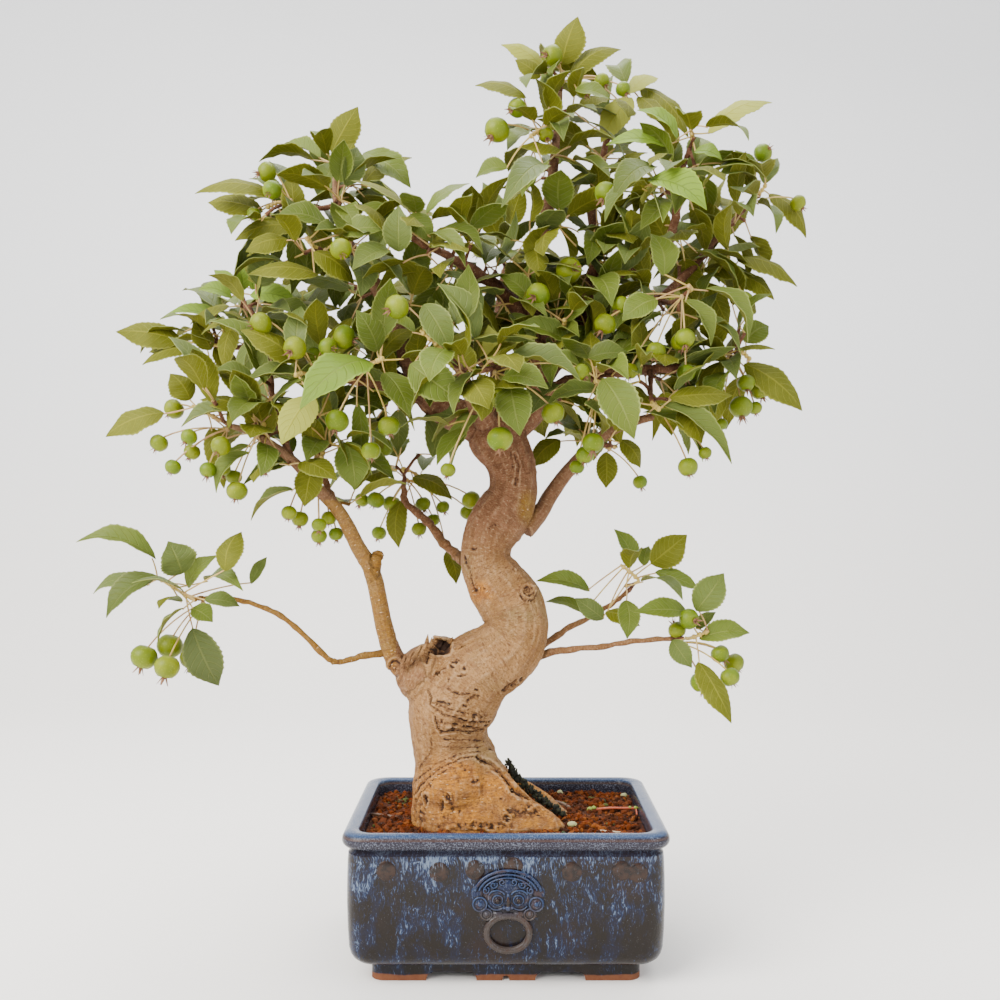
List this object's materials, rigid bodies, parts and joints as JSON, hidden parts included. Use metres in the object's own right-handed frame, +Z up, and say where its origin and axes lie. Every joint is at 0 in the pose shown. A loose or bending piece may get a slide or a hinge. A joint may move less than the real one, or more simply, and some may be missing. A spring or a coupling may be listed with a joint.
{
  "type": "hall crabapple bonsai",
  "caption": "Bent-trunk crabapple bonsai with leafy sprays and bunches of small green apples, in a rectangular blue-glazed pot with a mask in relief.",
  "frame": {"origin": "middle of the whole tree's box, on the surface that the pot's feet rest on", "axes": "+Z up along the trunk, +X to the viewer's right, +Y away from the side with the mask"},
  "size_m": [0.5048, 0.2519, 0.6499],
  "materials": {
    "glazed_clay": "gloss",
    "soil": "matte",
    "bark": "matte",
    "leaf": "satin",
    "apple": "satin"
  },
  "bodies": {
    "root": {"pot": "glazed_clay", "soil": "soil", "trunk": "bark", "apples_low_left": "apple", "apples_low_right": "apple", "apples_far_left": "apple", "apples_left_hanging": "apple", "apples_left_fork": "apple", "apples_left_middle": "apple", "apples_left_front": "apple", "apples_top_left": "apple", "apples_top_front": "apple", "apples_front_left": "apple", "apples_inner_low": "apple", "apples_apex": "apple", "apples_apex_left": "apple", "apples_centre": "apple", "apples_right_bright": "apple", "apples_right_tip": "apple", "apples_right_side": "apple", "apples_right_middle": "apple", "apples_right_end": "apple", "apples_right_low": "apple", "apples_right_inner": "apple", "apples_front_centre": "apple", "apples_low_right_limb": "apple", "apples_back": "apple", "leaves_low_left": "leaf", "leaves_low_right_front": "leaf", "leaves_low_right_back": "leaf", "leaves_far_left_high": "leaf", "leaves_far_left_low": "leaf", "leaves_left_hanging": "leaf", "leaves_left_fork": "leaf", "leaves_left_middle": "leaf", "leaves_left_front": "leaf", "leaves_pale_rosette": "leaf", "leaves_top_left_peak": "leaf", "leaves_top_left_side": "leaf", "leaves_top_left_front": "leaf", "leaves_pale_curl": "leaf", "leaves_apex": "leaf", "leaves_apex_left": "leaf", "leaves_apex_right": "leaf", "leaves_right_top": "leaf", "leaves_right_bright": "leaf", "leaves_right_tip": "leaf", "leaves_right_side": "leaf", "leaves_right_middle": "leaf", "leaves_right_end": "leaf", "leaves_right_low": "leaf", "leaves_right_inner": "leaf", "leaves_low_right_limb": "leaf", "leaves_front_left": "leaf", "leaves_front_centre": "leaf", "leaves_centre_high": "leaf", "leaves_inner_low": "leaf", "leaves_back_left_high": "leaf", "leaves_back_middle": "leaf", "leaves_back_right_high": "leaf"}
  },
  "joints": []
}
